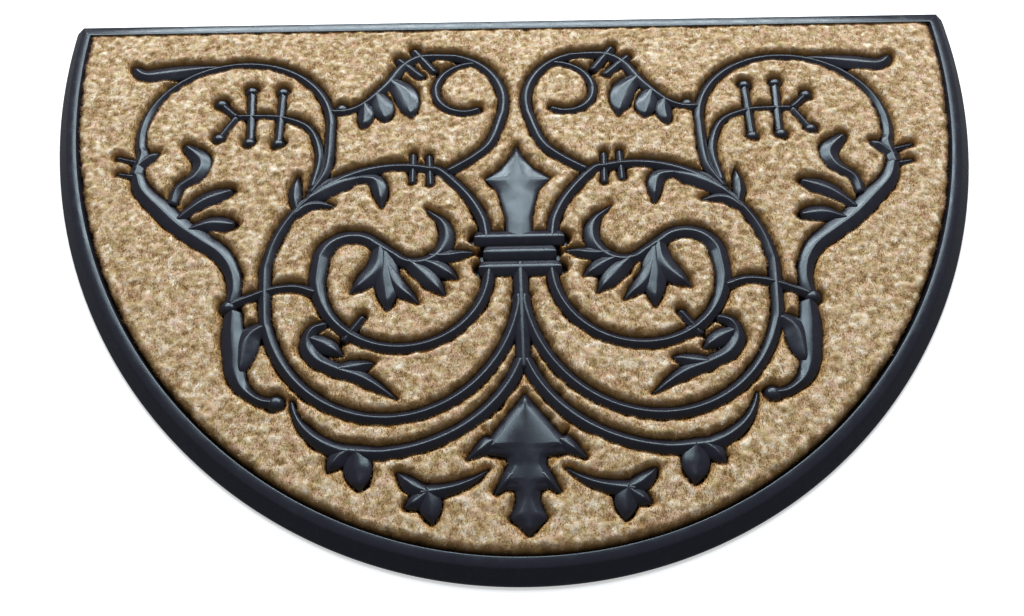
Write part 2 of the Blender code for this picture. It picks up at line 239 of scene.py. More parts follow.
def stroke(points, half_widths, kind="vine"):
    """A stroke along a smooth curve. Each end is read at closer points, and there the half width
    follows a quarter ellipse down to a small round tip."""
    curve = smooth_curve(points)
    lengths = run_lengths(curve)
    total = lengths[-1]
    reaches = [min(END_SHARE * half_widths[end], total / 4) for end in (0, -1)]
    quarter = 1.0 - np.cos(np.linspace(0.0, math.pi / 2, END_POINTS))
    inner = total - sum(reaches)
    middle = reaches[0] + np.linspace(0.0, inner, max(2, round(inner / SECTION_STEP)) + 1)[1:-1]
    places = np.concatenate([reaches[0] * quarter, middle, total - reaches[1] * quarter[::-1]])
    path = np.column_stack([np.interp(places, lengths, curve[:, axis]) for axis in (0, 1)])
    widths = smooth_curve(np.array(half_widths, float)[:, None])[:, 0]
    widths = np.interp(places / total, np.linspace(0.0, 1.0, len(widths)), widths)
    to_end = np.minimum(places / reaches[0], (total - places) / reaches[1])
    widths *= np.sqrt(1.0 - (1.0 - np.clip(to_end, 0.0, 1.0)) ** 2)
    return Stroke(path, np.maximum(widths, TIP_HALF_WIDTH), kind)


def leaf(base, middle, tip, half_width):
    """A pointed leaf, widest a little before its middle."""
    half_widths = [half_width * share for share in LEAF_FORM] + [POINT_HALF_WIDTH]
    return stroke([base, middle, tip], half_widths, "leaf")


def bar(start, end, half_width):
    """A straight crossing bar."""
    return stroke([start, end], [half_width, half_width], "bar")


def berry(centre_x, centre_y, radius):
    """A round berry, kept as a very short stroke as wide as it is round."""
    path = np.array([(centre_x - MM, centre_y), (centre_x + MM, centre_y)])
    return Stroke(path, np.array([radius, radius]), "berry")


def upright(rows, kind):
    """A motif on the centre line, from rows of height in the plane and half width, with
    straight edges between them."""
    y, half_width = np.array(rows, float).T
    places = np.linspace(y[0], y[-1], round(abs(y[-1] - y[0]) / SECTION_STEP) + 1)
    widths = np.interp(-places, -y, half_width)
    return Stroke(np.column_stack([np.zeros_like(places), places]), widths, kind)


# Motifs of the left half, in millimetres from the middle of the mat

def outer_scroll():
    arch = arc(-270, 150, 91, 89, 200, 0) + [(-179, 100), (-192, 68)]
    spur = [(-290, 237), (-316, 234), (-345, 230), (-370, 227), (-384, 237)]
    return [
        stroke([(-358, 94)] + arch, [7, 5, 5, 5, 5, 5, 5, 5]),
        stroke(spur, [2, 7, 10, 9.5, BLUNT_HALF_WIDTH], "leaf"),
    ]


def berry_sprig():
    stem = [(-191, 76), (-187, 115), (-199, 150), (-225, 165), (-252, 168), (-272, 168)]
    twigs = [((-272, 168), (-288, 184)), ((-272, 168), (-285, 141)), ((-261, 201), (-255, 136)),
             ((-230, 199), (-228, 133))]
    berries = [(-289, 185), (-286, 140), (-261, 202), (-256, 134), (-230, 200), (-228, 132)]
    return [
        stroke(stem, [TWIG_HALF_WIDTH, TWIG_HALF_WIDTH]),
        *[bar(start, end, TWIG_HALF_WIDTH) for start, end in twigs],
        *[berry(x, y, BERRY_RADIUS) for x, y in berries],
    ]


def side_stem():
    stem = [(-357, 98), (-348, 77), (-328, 55), (-307, 34), (-285, 17), (-266, 2), (-254, -16),
            (-249, -36), (-250, -54)]
    horn = [(-318, 58), (-315, 78), (-301, 93), (-298, 112), (-316, 131)]
    return [
        stroke(stem, [6, 9, 10, 10, 9, 7, 6]),
        stroke(horn, [5, 6, 8, 9, BLUNT_HALF_WIDTH], "leaf"),
        stroke([(-311, 40), (-290, 62), (-264, 74)], [5, 6, 9, 9.5, BLUNT_HALF_WIDTH], "leaf"),
        stroke([(-300, 28), (-280, 36), (-257, 34)], [5, 6, 9, 9, BLUNT_HALF_WIDTH], "leaf"),
        leaf((-360, 100), (-353, 112), (-340, 123), 8),
        bar((-379, 117), (-358, 111), 3),
        bar((-375, 97), (-354, 93), 3),
        berry(-252, -55, KNOB_RADIUS),
    ]


def link():
    return [stroke([(-256, -56), (-238, -47), (-216, -38), (-196, -36), (-178, -42)], [5, 5])]


def side_crescent():
    crescent = [(-247, -58), (-245, -80), (-241, -102), (-238, -119), (-230, -135), (-216, -146),
                (-203, -149)]
    return [
        stroke(crescent, [7, 9, 10, 9, 7, 5, 5]),
        leaf((-219, -75), (-231, -88), (-234, -124), 11),
        berry(-202, -149, KNOB_RADIUS),
    ]


def big_loop():
    top = arc(-110, -22, 114, 122, 70, 180)
    bottom = arc(-112, -34, 111, 131, 195, 350)
    path = [(-29, 12), (-33, 36), (-47, 64)] + top + bottom + [(-3, -46)]
    widths = [5.5] * 5 + [6.5, 7] + [5.5] * 15
    return [
        stroke(path, widths),
        leaf((-203, 50), (-206, 70), (-205, 90), 6),
        leaf((-208, 40), (-192, 55), (-168, 54), 7),
        leaf((-194, 62), (-170, 79), (-140, 88), 11),
        leaf((-152, 87), (-131, 82), (-125, 51), 8),
        bar((-98, 116), (-98, 79), 3.5),
        bar((-83, 114), (-81, 76), 3.5),
    ]


def inner_scroll():
    around = arc(-103, -22, 75, 77, -5, -175)
    curl = arc(-149, -10, 28, 28, 170, 45)
    hook = arc(-92, 17, 27, 29, 225, 405)
    path = [(-27, -14)] + around + curl + hook + [(-85, 49)]
    widths = [5, 5.5, 5.5, 5.5, 5.5, 5.5, 6, 7.5, 8, 7, 6, 7, 7, POINT_HALF_WIDTH]
    return [
        stroke(path, widths),
        leaf((-124, 8), (-126, -18), (-148, -43), 11),
        leaf((-120, 2), (-117, -28), (-115, -62), 11),
        leaf((-118, -10), (-109, -34), (-89, -54), 8),
        leaf((-100, -8), (-85, -24), (-66, -47), 9),
        leaf((-88, -9), (-74, -16), (-55, -30), 8),
        leaf((-82, -4), (-65, -5), (-41, -1), 7),
        bar((-135, -67), (-151, -92), 4),
    ]


def curled_leaf():
    blade = [(-166, -74), (-178, -80), (-181, -95), (-172, -109), (-154, -119), (-132, -128),
             (-104, -147)]
    return [
        stroke(blade, [4, 6, 7, 7, 7, 5, POINT_HALF_WIDTH], "leaf"),
        leaf((-180, -88), (-167, -94), (-151, -105), 8),
        leaf((-156, -119), (-140, -117), (-124, -113), 8),
    ]


def upper_scroll():
    stem = [(-181, 172), (-164, 173), (-147, 183), (-128, 206), (-112, 233), (-93, 246)]
    crook = arc(-72, 182, 61, 65, 80, -15) + [(-24, 130), (-40, 111), (-66, 92)]
    return [
        stroke(stem + crook, [5, 5, 6, 6, 6] + [5.5] * 8),
        stroke(spiral(-48, 192, 46, 23, 72, 305), [4, 4.5, 4.5, 5, 5]),
        berry(-170, 176, BERRY_RADIUS),
        leaf((-148, 184), (-146, 167), (-148, 148), 8),
        leaf((-137, 196), (-130, 178), (-126, 157), 11),
        leaf((-124, 214), (-108, 195), (-101, 161), 12),
        bar((-118, 244), (-91, 216), 5),
        bar((-102, 257), (-79, 223), 5),
    ]


def lower_arc():
    right = arc(-122, -76, 126, 119, -17, -88)
    left = arc(-127, -137, 63, 58, -105, -170)
    return [
        stroke(right + left + [(-189, -150)], [6, 6, 6, 6, 6, 7, 5, POINT_HALF_WIDTH]),
        leaf((-137, -191), (-147, -198), (-155, -209), 8),
        leaf((-134, -191), (-132, -206), (-129, -226), 11),
    ]


def free_trefoil():
    return [
        leaf((-73, -230), (-88, -224), (-101, -212), 7),
        stroke([(-84, -230), (-60, -226), (-44, -220), (-30, -211)], [8, 6, 4, POINT_HALF_WIDTH],
               "leaf"),
        leaf((-78, -224), (-75, -238), (-73, -254), 9),
        leaf((-76, -228), (-84, -235), (-94, -241), 7),
    ]


def tree_wings():
    return [
        stroke([(-26, -186), (-36, -194), (-47, -202)], [9, 6, POINT_HALF_WIDTH], "tree"),
        stroke([(-10, -214), (-17, -222), (-25, -231)], [8, 5, POINT_HALF_WIDTH], "tree"),
    ]


# Motifs on the centre line

def centre_spear():
    rows = [(123, POINT_HALF_WIDTH), (106, 9), (95, 17), (84, 31), (76, 24), (66, 18), (52, 15),
            (36, 12), (13, 12)]
    return [upright(rows, "spear")]


def collar():
    half_lengths = {14: 41, -2.5: 33, -19: 37}
    return [bar((-half, y), (half, y), BAR_HALF_WIDTH) for y, half in half_lengths.items()]


def centre_strand():
    return [stroke([(0, -12), (0, -60), (0, -122)], [6.5, 6.5, 6])]


def centre_tree():
    rows = [(-145, POINT_HALF_WIDTH), (-160, 12), (-175, 23), (-190, 34), (-197, 38), (-200, 16),
            (-207, 15), (-215, 19), (-226, 22), (-229, 10), (-236, 9), (-243, 11), (-251, 14.5),
            (-265, POINT_HALF_WIDTH)]
    return [upright(rows, "tree")]


SIDE_MOTIFS = (outer_scroll, berry_sprig, side_stem, link, side_crescent, big_loop, inner_scroll,
               curled_leaf, upper_scroll, lower_arc, free_trefoil, tree_wings)
CENTRE_MOTIFS = (centre_spear, collar, centre_strand, centre_tree)


def all_strokes(stretch):
    """Every stroke of the scrollwork, the side motifs on both sides."""
    side = [made for motif in SIDE_MOTIFS for made in motif()]
    mirrored = [Stroke(made.path * (-1.0, 1.0), made.widths, made.kind) for made in side]
    centre = [made for motif in CENTRE_MOTIFS for made in motif()]
    return [Stroke(made.path * (1.0, stretch), made.widths, made.kind)
            for made in side + mirrored + centre]


# The mat's outline

FRONT_SEGMENTS = 360
BISECTIONS = 40


def front_points(angle, inset, power):
    """Points of the rounded front, a superellipse moved in along its normal. Its points are the
    cosine and sine raised to 2 over the power, and its normal is the gradient of its equation."""
    half = MAT_LENGTH / 2
    cosine, sine = np.cos(angle), np.sin(angle)
    x_share = np.sign(cosine) * np.abs(cosine) ** (2 / power)
    y_share = -np.abs(sine) ** (2 / power)
    slope_x = np.sign(x_share) * np.abs(x_share) ** (power - 1) / half
    slope_y = -np.abs(y_share) ** (power - 1) / MAT_DEPTH
    slope = np.hypot(slope_x, slope_y)
    return np.column_stack([half * x_share - inset * slope_x / slope,
                            BACK_Y + MAT_DEPTH * y_share - inset * slope_y / slope])


def back_inset(inset, sizes):
    """How far the back edge moves in where the front moves in by the inset: the bevel is steep
    there and the border narrower."""
    width, slope = sizes.border_width / MM, sizes.inner_slope / MM
    back_width = sizes.back_width / MM
    front = (0.0, sizes.outer_bevel / MM, width - slope, width)
    return np.interp(inset, front, (0.0, sizes.back_bevel / MM, back_width - slope, back_width))


def outline(inset, sizes):
    """The mat's outline moved in by the inset, anticlockwise from the left back corner. The
    corner's angle is found by halving."""
    power, edge_y = sizes.front_power, BACK_Y - back_inset(inset, sizes)
    low, high = 0.0, math.pi / 4
    for _ in range(BISECTIONS):
        middle = (low + high) / 2
        if front_points(np.array([middle]), inset, power)[0, 1] > edge_y:
            low = middle
        else:
            high = middle
    return front_points(np.linspace(math.pi - high, high, FRONT_SEGMENTS + 1), inset, power)


# Meshes

SHARP_ANGLE = math.radians(38.0)


def grid_faces(rows, columns):
    """Four-cornered faces of a grid of points whose columns close on themselves."""
    row, column = np.meshgrid(np.arange(rows - 1), np.arange(columns), indexing="ij")
    beside = (column + 1) % columns
    corners = [row * columns + column, row * columns + beside, (row + 1) * columns + beside,
               (row + 1) * columns + column]
    return np.stack(corners, -1).reshape(-1, 4)


def carried(rings):
    """Points and faces of a closed body through rings, an array of rings by points by three,
    each ring anticlockwise as seen from the next one. It is capped at both ends."""
    rows, columns = rings.shape[:2]
    last = np.arange((rows - 1) * columns, rows * columns)
    caps = [np.arange(columns)[::-1].tolist(), last.tolist()]
    return rings.reshape(-1, 3), grid_faces(rows, columns).tolist() + caps


def joined(bodies):
    """The points and faces of several bodies as one."""
    points, faces, first = [], [], 0
    for body_points, body_faces in bodies:
        points.append(body_points)
        faces.extend([[first + corner for corner in face] for face in body_faces])
        first += len(body_points)
    return np.vstack(points), faces


def add_piece(name, points, faces, material, nodes, smooth=True):
    """A mesh object from points in millimetres. It rides on the mat and stands for the nodes."""
    mesh = bpy.data.meshes.new(name)
    mesh.from_pydata(points * MM, [], faces)
    mesh.materials.append(material)
    if smooth:
        mesh.shade_smooth()
        mesh.set_sharp_from_angle(angle=SHARP_ANGLE)
    mesh.validate()
    piece = bpy.data.objects.new(name, mesh)
    bpy.context.scene.collection.objects.link(piece)
    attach(piece, BODY)
    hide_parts(*nodes)
    return piece


# Materials

MOTTLE_SHARES = (0.88, 0.06, 0.06)
# Heights of the pile over which brown painted shade is laid on its shoulders.
PAINTED_SHOULDER_SHADE_HEIGHTS = (12.5 * MM, 16.5 * MM)
# Heights of the pile over which dark painted shade is laid lower down.
PAINTED_DEEP_SHADE_HEIGHTS = (6.0 * MM, 12.5 * MM)


def add_node(tree, kind, **values):
    node = tree.nodes.new(kind)
    for name, value in values.items():
        setattr(node, name, value)
    return node


def noise(tree, place, scale, detail=2.0, roughness=0.5):
    """A noise pattern in the mat's own coordinates, with the scale in repeats per metre."""
    node = add_node(tree, "ShaderNodeTexNoise")
    node.inputs["Scale"].default_value = scale
    node.inputs["Detail"].default_value = detail
    node.inputs["Roughness"].default_value = roughness
    tree.links.new(place, node.inputs["Vector"])
    return node.outputs["Fac"]


def mapped(tree, value, low, high, to_low=0.0, to_high=1.0):
    """The value, with low to high spread over to_low to to_high and held there."""
    node = add_node(tree, "ShaderNodeMapRange", clamp=True)
    for name, number in (("From Min", low), ("From Max", high), ("To Min", to_low),
                         ("To Max", to_high)):
        node.inputs[name].default_value = number
    tree.links.new(value, node.inputs["Value"])
    return node.outputs["Result"]


def blended(tree, share, first, second):
    """A mix of two colours, each a socket or a fixed colour."""
    node = add_node(tree, "ShaderNodeMix", data_type="RGBA")
    tree.links.new(share, node.inputs["Factor"])
    for socket, colour in ((node.inputs["A"], first), (node.inputs["B"], second)):
        if isinstance(colour, bpy.types.NodeSocket):
            tree.links.new(colour, socket)
        else:
            socket.default_value = (*colour, 1.0)
    return node.outputs["Result"]


def combined(tree, first, second, operation):
    """Two values put together, the second a socket or a fixed number."""
    node = add_node(tree, "ShaderNodeMath", operation=operation)
    tree.links.new(first, node.inputs[0])
    if isinstance(second, bpy.types.NodeSocket):
        tree.links.new(second, node.inputs[1])
    else:
        node.inputs[1].default_value = second
    return node.outputs["Value"]


def new_material(name):
    """A material, its node tree, its shader and the socket of the mat's own coordinates."""
    material = bpy.data.materials.new(name)
    material.use_nodes = True
    tree = material.node_tree
    place = add_node(tree, "ShaderNodeTexCoord").outputs["Object"]
    return material, tree, tree.nodes["Principled BSDF"], place


def add_bump(tree, shader, height, strength, distance):
    bump = add_node(tree, "ShaderNodeBump")
    bump.inputs["Strength"].default_value = strength
    bump.inputs["Distance"].default_value = distance
    tree.links.new(height, bump.inputs["Height"])
    tree.links.new(bump.outputs["Normal"], shader.inputs["Normal"])


def rubber_material(finishes):
    """Satin moulded rubber with a fine grain, uneven gloss and a little dust."""
    material = bpy.data.materials.get("satin rubber")
    if material:
        return material
    material, tree, shader, place = new_material("satin rubber")
    cloud = noise(tree, place, 60.0, 3.0)
    dust = mapped(tree, noise(tree, place, 140.0, 4.0, 0.7), 0.52, 0.75, 0.0, 0.5)
    colour = blended(tree, dust, finishes.rubber, finishes.rubber_dust)
    tree.links.new(colour, shader.inputs["Base Color"])
    gloss = finishes.rubber_gloss
    tree.links.new(mapped(tree, cloud, 0.3, 0.7, gloss - 0.05, gloss + 0.09),
                   shader.inputs["Roughness"])
    shader.inputs["Specular IOR Level"].default_value = 0.29
    shader.inputs["Specular Tint"].default_value = (*finishes.rubber_sheen, 1.0)
    add_bump(tree, shader, noise(tree, place, 1100.0, 2.0), 0.25, 0.0002)
    return material


def coir_material(finishes):
    """Coir: mottled patches and single fibres from brown to cream, with painted shade: brown on
    the pile's shoulders and dark down in the pile.
    """
    material = bpy.data.materials.get("coir fibre")
    if material:
        return material
    material, tree, shader, place = new_material("coir fibre")
    tone = add_node(tree, "ShaderNodeAttribute", attribute_name="tone").outputs["Fac"]
    patch = noise(tree, place, 160.0, 2.0, 0.6)
    speck = noise(tree, place, 600.0, 2.0, 0.6)
    parts = [combined(tree, part, share, "MULTIPLY")
             for part, share in zip((patch, speck, tone), MOTTLE_SHARES)]
    mottle = combined(tree, combined(tree, parts[0], parts[1], "ADD"), parts[2], "ADD")
    darker = blended(tree, mapped(tree, mottle, 0.34, 0.50), finishes.coir_brown,
                     finishes.coir_tan)
    colour = blended(tree, mapped(tree, mottle, 0.50, 0.68), darker, finishes.coir_cream)
    red = mapped(tree, noise(tree, place, 105.0, 2.0, 0.6), 0.50, 0.64, 0.0, 0.5)
    colour = blended(tree, red, colour, finishes.coir_pink)
    green = mapped(tree, noise(tree, place, 115.0, 2.0, 0.6), 0.52, 0.66, 0.0, 0.45)
    colour = blended(tree, green, colour, finishes.coir_olive)
    height = add_node(tree, "ShaderNodeSeparateXYZ")
    tree.links.new(place, height.inputs["Vector"])
    # Painted shade: brown on the pile's shoulders, where they turn down to the rubber.
    painted_shoulder_shade = mapped(tree, height.outputs["Z"], *PAINTED_SHOULDER_SHADE_HEIGHTS, 0.9, 0.0)
    colour = blended(tree, painted_shoulder_shade, colour, finishes.coir_painted_shoulder_shade)
    # Painted shade: dark colour low in the pile, where it dips to the rubber.
    painted_deep_shade = mapped(tree, height.outputs["Z"], *PAINTED_DEEP_SHADE_HEIGHTS, 0.95, 0.0)
    colour = blended(tree, painted_deep_shade, colour, finishes.coir_painted_deep_shade)
    tree.links.new(colour, shader.inputs["Base Color"])
    shader.inputs["Roughness"].default_value = 0.9
    shader.inputs["Specular IOR Level"].default_value = 0.2
    add_bump(tree, shader, speck, 0.4, 0.0008)
    return material


# Rubber

def tray_section(sizes):
    """The tray's section as pairs of inset and height: up the outer edge, over the bevel, the
    top and the inner slope, with each corner rounded by two closer points, down to the backing."""
    width, height, edge = sizes.border_width / MM, sizes.border_height / MM, sizes.edge / MM
    bevel, slope, rise = (sizes.outer_bevel / MM, sizes.inner_slope / MM, sizes.border_rise / MM)
    inner = width - slope
    return [(0.0, 0.0), (0.0, edge - 0.5), (0.15, edge), (0.6, edge + 0.6),
            (bevel - 1.0, height - rise - 0.95), (bevel - 0.3, height - rise - 0.35),
            (bevel + 0.6, height - rise), (inner - 0.8, height), (inner + 0.1, height - 0.25),
            (inner + 0.7, height - 1.2), (width - 0.3, sizes.backing / MM + 0.8),
            (width, sizes.backing / MM)]


def make_tray(context):
    """The tray: its section carried round the outline, closed by the underside and backing."""
    sizes = context.scene.doormat_tray
    rings = []
    for inset, height in tray_section(sizes):
        ring = outline(inset, sizes)
        rings.append(np.column_stack([ring, np.full(len(ring), height)]))
    points, faces = carried(np.array(rings))
    add_piece(TRAY_NAME, points, faces, rubber_material(context.scene.doormat_finishes),
              [RUBBER_NODE])


SLOPE_STEPS = np.array([0.0, 0.08, 0.3, 0.6, 0.85, 1.0])
SLOPE_RISE = np.array([0.0, 0.16, 0.42, 0.68, 0.9, 1.0])
WALL_DROP = 1.0
CREST_CROWN = 0.12


def flat_half_widths(made, share, slope):
    """Half width of the flat crest: the stroke's outline moved in by the slope's width, but never
    less than a share of its half width. At each point it is the least, over the points within the
    slope's reach, of their half width less the height of a circle of that radius."""
    along = run_lengths(made.path)
    apart = np.abs(along[:, None] - along[None, :])
    drop = np.sqrt(np.maximum(slope ** 2 - apart ** 2, 0.0))
    inner = np.where(apart < slope, made.widths[None, :] - drop, np.inf).min(axis=1)
    inner[np.minimum(along, along[-1] - along) < slope] = 0.0
    return np.maximum(inner, share * made.widths)


def ridge_rings(made, sizes, slope):
    """The stroke's section carried along its path. From the root the section goes straight up, then
    over a slope whose rise eases off towards the flat crest, and down the other side."""
    widths = made.widths[:, None]
    flat = flat_half_widths(made, sizes.crest_share, slope)[:, None]
    shoulder, crest = sizes.shoulder / MM, sizes.crest / MM
    full = np.minimum(1.0, widths / (sizes.vine / MM))
    slopes = widths - SLOPE_STEPS * (widths - flat)
    heights = shoulder + (crest - shoulder) * full * SLOPE_RISE
    side_x = np.hstack([widths, widths, slopes])
    side_z = np.hstack([np.full_like(widths, sizes.root / MM),
                        np.full_like(widths, shoulder - WALL_DROP), heights])
    middle_z = heights[:, -1:] + CREST_CROWN * full
    offsets = np.hstack([side_x, np.zeros_like(widths), -side_x[:, ::-1]])
    levels = np.hstack([side_z, middle_z, side_z[:, ::-1]])
    along = np.gradient(made.path, axis=0)
    along /= np.hypot(along[:, 0], along[:, 1])[:, None]
    across = np.column_stack([-along[:, 1], along[:, 0]])
    plan = made.path[:, None, :] + across[:, None, :] * offsets[:, :, None]
    return np.concatenate([plan, levels[:, :, None]], axis=2)


BERRY_SIDES = 24
BERRY_SECTION = ((1.0, 0.0), (1.0, 0.52), (0.96, 0.62), (0.86, 0.76), (0.68, 0.89), (0.45, 0.97),
                 (0.2, 1.0))


def berry_rings(made, sizes):
    """A dome turned about the berry's middle, its section as shares of radius and height."""
    centre, radius = made.path.mean(axis=0), made.widths[0]
    root, crest = sizes.root / MM, sizes.crest / MM
    angles = np.linspace(0.0, 2 * math.pi, BERRY_SIDES, endpoint=False)
    reach, rise = np.array(BERRY_SECTION).T
    x = centre[0] + radius * reach[:, None] * np.cos(angles)
    y = centre[1] + radius * reach[:, None] * np.sin(angles)
    z = np.repeat((root + (crest - root) * rise)[:, None], BERRY_SIDES, axis=1)
    return np.stack([x, y, z], axis=2)


SCROLL_PIECES = {"vines": ("vine",), "leaves": ("leaf",), "bars_and_berries": ("bar", "berry"),
                 "spear_and_tree": CENTRE_KINDS}


def make_scrollwork(context, name, kinds):
    """The strokes of some kinds, joined into one piece."""
    sizes = context.scene.doormat_scroll
    slopes = {"vine": sizes.leaf_slope, "leaf": sizes.leaf_slope, "bar": sizes.tree_slope,
              "tree": sizes.tree_slope, "spear": sizes.spear_slope}
    bodies = []
    for made in all_strokes(sizes.stretch):
        if made.kind == "berry" and made.kind in kinds:
            bodies.append(carried(berry_rings(made, sizes)))
        elif made.kind in kinds:
            bodies.append(carried(ridge_rings(made, sizes, slopes[made.kind] / MM)))
    points, faces = joined(bodies)
    add_piece(name, points, faces, rubber_material(context.scene.doormat_finishes),
              [RUBBER_NODE])


# Coir pile

REACH = 12.0
RUN_OVERLAP = 0.3
LUMP_SEED = 3
EDGE_SEED = 5
TONE_SEED = 7
FIBRE_SEED = 11
EDGE_WAVE = 0.6
EDGE_WAVE_SIZE = 12.0
UPWARD = 0.9


def soft_noise(shape, step, size, seed):
    """Seeded random numbers on a grid, blurred to lumps of about the given size by a Gaussian in
    the frequency domain, with a mean of 0 and a spread of 1."""
    draws = np.random.default_rng(seed).standard_normal(shape)
    waves = np.hypot(np.fft.fftfreq(shape[0], step)[:, None], np.fft.rfftfreq(shape[1], step))
    lumps = np.fft.irfft2(np.fft.rfft2(draws) * np.exp(-(waves * size) ** 2), shape)
    return lumps / lumps.std()


def carve(distance, xs, ys, made):
    """Lowers the grid of distances to that of one stroke: for each of its short straight runs,
    the distance to the run less the half width at the nearest point of it. The spear and the
    tree widen fast, so theirs is the distance to the slanting edge of the run instead."""
    for start, end, first, last in zip(made.path, made.path[1:], made.widths, made.widths[1:]):
        reach = REACH + max(first, last)
        low, high = np.minimum(start, end) - reach, np.maximum(start, end) + reach
        columns = slice(*np.searchsorted(xs, (low[0], high[0])))
        rows = slice(*np.searchsorted(ys, (low[1], high[1])))
        run_x, run_y = end - start
        off_x, off_y = xs[columns, None] - start[0], ys[None, rows] - start[1]
        along = (off_x * run_x + off_y * run_y) / (run_x ** 2 + run_y ** 2)
        share = np.clip(along, 0.0, 1.0)
        half = first + (last - first) * share
        if made.kind in CENTRE_KINDS:
            run = math.hypot(run_x, run_y)
            beside = np.abs(off_x * run_y - off_y * run_x) / run - half
            beside /= math.hypot(1.0, (last - first) / run)
            beyond = np.maximum(np.abs(along - 0.5) - 0.5 - RUN_OVERLAP, 0.0) * run
            found = np.where(beyond > 0.0, np.hypot(beyond, np.maximum(beside, 0.0)), beside)
        else:
            found = np.hypot(off_x - share * run_x, off_y - share * run_y) - half
        distance[columns, rows] = np.minimum(distance[columns, rows], found)


def border_strokes(sizes):
    """The border as two strokes along the mat's outer edge, the rounded front and the straight
    back. The inner half of each is the border."""
    front = outline(0.0, sizes)
    return [Stroke(path, np.full(len(path), width / MM), "border")
            for path, width in ((front, sizes.border_width), (front[[-1, 0]], sizes.back_width))]


def distance_grid(context):
    """The grid's x and y, and the distance from each of its points to the nearest rubber, which
    is negative inside the rubber and past the mat's edge."""
    tray, pile = context.scene.doormat_tray, context.scene.doormat_pile
    step = pile.grid / MM
    xs = np.arange(-MAT_LENGTH / 2, MAT_LENGTH / 2 + step, step)
    ys = np.arange(BACK_Y - MAT_DEPTH, BACK_Y + step, step)
    distance = np.full((len(xs), len(ys)), REACH)
    for made in border_strokes(tray) + all_strokes(context.scene.doormat_scroll.stretch):
        carve(distance, xs, ys, made)
    shares = (np.abs(xs[:, None]) / (MAT_LENGTH / 2)) ** tray.front_power
    shares = shares + np.abs((BACK_Y - ys[None, :]) / MAT_DEPTH) ** tray.front_power
    outside = (shares > 1.0) | (ys[None, :] > BACK_Y)
    distance[outside] = -np.abs(distance[outside])
    return xs, ys, distance


def pile_heights(distance, step, sizes):
    """The pile's height: a quarter of a rounded shoulder from the foot at the rubber up to the
    top, with soft lumps on it that fade out towards the foot."""
    shape = distance.shape
    waved = distance + EDGE_WAVE * soft_noise(shape, step, EDGE_WAVE_SIZE, EDGE_SEED)
    share = np.clip(np.where(distance > 0.0, waved, distance) / (sizes.shoulder / MM), 0.0, 1.0)
    rise = np.sqrt(1.0 - (1.0 - share) ** 2)
    lumps = soft_noise(shape, step, sizes.lump_size / MM, LUMP_SEED)
    foot = sizes.foot / MM
    return foot + (sizes.top / MM - foot + sizes.lump_height / MM * lumps) * rise


def region_of(node, inside, xs, ys):
    """The part of the grid that one node covers: grown from the middle of its largest upward
    triangle through the neighbouring points that are inside the pile."""
    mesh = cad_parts[node].data
    areas = np.array([face.area if face.normal.z > UPWARD else 0.0 for face in mesh.polygons])
    seed = np.array(mesh.polygons[int(areas.argmax())].center) / MM
    region = np.zeros_like(inside)
    region[np.abs(xs - seed[0]).argmin(), np.abs(ys - seed[1]).argmin()] = True
    count = 0
    while region.sum() != count:
        count = region.sum()
        for axis in (0, 1):
            region |= np.roll(region, 1, axis) | np.roll(region, -1, axis)
            region &= inside
    return region


def pile_regions(context):
    """Everything that the pile's pieces share: the grid, the distances, the heights, and for each
    node the grid's points that it covers."""
    sizes = context.scene.doormat_pile
    xs, ys, distance = distance_grid(context)
    step = xs[1] - xs[0]
    heights = pile_heights(distance, step, sizes)
    inside = distance > 0.0
    inlays = sorted(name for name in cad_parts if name.startswith("coir_inlay"))
    regions = {name: region_of(name, inside, xs, ys) for name in inlays}
    regions["coir_field"] = inside & ~np.any(list(regions.values()), axis=0)
    return xs, ys, distance, heights, regions


FIBRE_CLEAR = 0.6
FIBRE_SUNK = 0.6
FIBRE_LEAN = 0.3
FIBRE_OUTWARD = 0.35
FIBRE_SHARES = (0.5, 1.3)
MAT_TOP = 17.4
GRID_MARGIN = 1.001
LEAST_STEEPNESS = 0.5
PILE_TONES = (0.2, 0.8)


def snapped(xs, ys, distance, near):
    """The grid's points in the plane. Those near the rubber's edge are moved onto it, against the
    slope of the distance."""
    step = xs[1] - xs[0]
    slope_x, slope_y = np.gradient(distance, step)
    steep = np.maximum(np.hypot(slope_x, slope_y), LEAST_STEEPNESS)
    shift = np.where(near, distance / steep ** 2, 0.0)
    return xs[:, None] - slope_x * shift, ys[None, :] - slope_y * shift


def cell_faces(region, near):
    """Faces of the grid's cells that touch the region and whose corners are in it or on the
    rubber's edge: four-cornered, or three-cornered where one corner is off."""
    along, across = slice(None, -1), slice(1, None)
    corners = [(along, along), (across, along), (across, across), (along, across)]

    def at_corners(grid):
        return np.stack([grid[corner] for corner in corners], -1).reshape(-1, 4)

    ids = at_corners(np.arange(region.size).reshape(region.shape))
    good = at_corners(region | near)
    touched = at_corners(region).any(axis=1)
    four = ids[good.all(axis=1) & touched]
    three = (good.sum(axis=1) == 3) & touched
    return four, ids[three][good[three]].reshape(-1, 3)


def packed(points, *face_sets):
    """Only the points that the faces use, and the faces with those points' new numbers."""
    used = np.unique(np.concatenate([faces.ravel() for faces in face_sets]))
    number = np.zeros(len(points), int)
    number[used] = np.arange(len(used))
    return points[used], used, [face for faces in face_sets for face in number[faces].tolist()]


def set_tone(mesh, values):
    """A number for each point of the mesh that the coir's colour reads."""
    mesh.attributes.new("tone", "FLOAT", "POINT").data.foreach_set("value", values)


